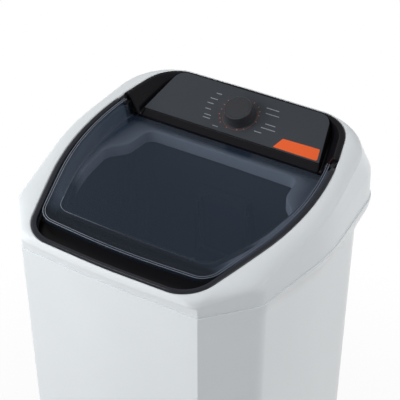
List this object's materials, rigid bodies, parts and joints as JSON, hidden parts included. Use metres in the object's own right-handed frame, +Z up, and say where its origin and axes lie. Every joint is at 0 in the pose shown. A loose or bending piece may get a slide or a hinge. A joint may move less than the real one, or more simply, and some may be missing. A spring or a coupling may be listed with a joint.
{
  "type": "semi-automatic washing machine",
  "caption": "White top-loading tub washing machine with a flared top cover, a smoked tray-shaped lid, a sloping black control panel with a knob, and a belt-driven agitator.",
  "frame": {"origin": "on the floor, at the middle of the machine's outer box seen from above", "axes": "+Z up, -Y out of the front, +X to the right as seen from the front"},
  "size_m": [0.5754, 0.537, 0.9473],
  "materials": {
    "cabinet_white": "moulded white plastic, satin gloss",
    "black_plastic": "moulded black plastic, soft gloss",
    "fascia_graphite": "dark grey printed film, satin",
    "badge_orange": "orange film, gloss",
    "smoked_plastic": "dark see-through plastic, gloss",
    "tub_grey": "dark grey plastic",
    "graphite_plastic": "glass filled plastic, dull",
    "light_plastic": "light grey plastic",
    "blue_plastic": "blue plastic",
    "rubber": "black rubber, dull",
    "zinc_steel": "zinc plated steel",
    "motor_paint": "dark painted steel",
    "bronze": "sintered bronze",
    "light_metal": "cast aluminium",
    "hose_grey": "soft grey hose"
  },
  "bodies": {
    "cabinet": {"cabinet": "cabinet_white", "base_frame": "graphite_plastic", "feet": "rubber", "top_cover": "cabinet_white", "deck_frame": "black_plastic", "wash_tub": "tub_grey", "tub_screws": "zinc_steel", "control_housing": "black_plastic", "housing_screws": "zinc_steel", "fascia_plate": "fascia_graphite", "badge_plate": "badge_orange", "timer_case": "graphite_plastic", "timer_screws": "zinc_steel", "bearing_housing": "graphite_plastic", "housing_bolts": "zinc_steel", "shaft_bushes": "bronze", "shaft_seal": "rubber", "drive_plate": "zinc_steel", "plate_bolts": "zinc_steel", "motor": "motor_paint", "motor_mounts": "rubber", "drive_belt": "rubber", "capacitor": "light_metal", "capacitor_clip": "zinc_steel", "drain_elbow": "graphite_plastic", "drain_hose": "hose_grey", "drain_outlet": "graphite_plastic", "cord_gland": "rubber", "filter_guides": "graphite_plastic"},
    "lid": {"lid_shell": "smoked_plastic", "lid_pins": "zinc_steel", "lid_bumpers": "rubber"},
    "knob": {"knob": "black_plastic", "knob_cap": "fascia_graphite", "timer_shaft": "zinc_steel"},
    "agitator": {"agitator": "light_plastic", "agitator_cap": "blue_plastic", "drive_shaft": "zinc_steel", "large_pulley": "light_metal", "pulley_nut": "zinc_steel"},
    "rotor": {"motor_shaft": "zinc_steel", "motor_pulley": "light_metal", "motor_fan": "light_plastic"},
    "filter": {"lint_filter": "light_plastic", "filter_mesh": "blue_plastic"}
  },
  "joints": [
    {"name": "lid_hinge", "type": "hinge", "parent": "cabinet", "child": "lid", "pos_m": [0, 0.1275, 0.9105], "axis": [-1, 0, 0], "range_deg": [0, 90]},
    {"name": "knob_turn", "type": "hinge", "parent": "cabinet", "child": "knob", "pos_m": [0.001, 0.19212, 0.91412], "axis": [0, -0.4195, 0.9078], "continuous": true},
    {"name": "agitator_spin", "type": "hinge", "parent": "cabinet", "child": "agitator", "pos_m": [0, -0.021, 0.2], "axis": [0, 0, 1], "continuous": true},
    {"name": "motor_spin", "type": "hinge", "parent": "cabinet", "child": "rotor", "pos_m": [0, 0.147, 0.2], "axis": [0, 0, 1], "continuous": true},
    {"name": "filter_slide", "type": "slide", "parent": "cabinet", "child": "filter", "axis": [0, 0, 1], "range_m": [0, 0.045]}
  ],
  "couplings": [
    {"joint": "motor_spin", "follows": "agitator_spin", "ratio": 5}
  ]
}
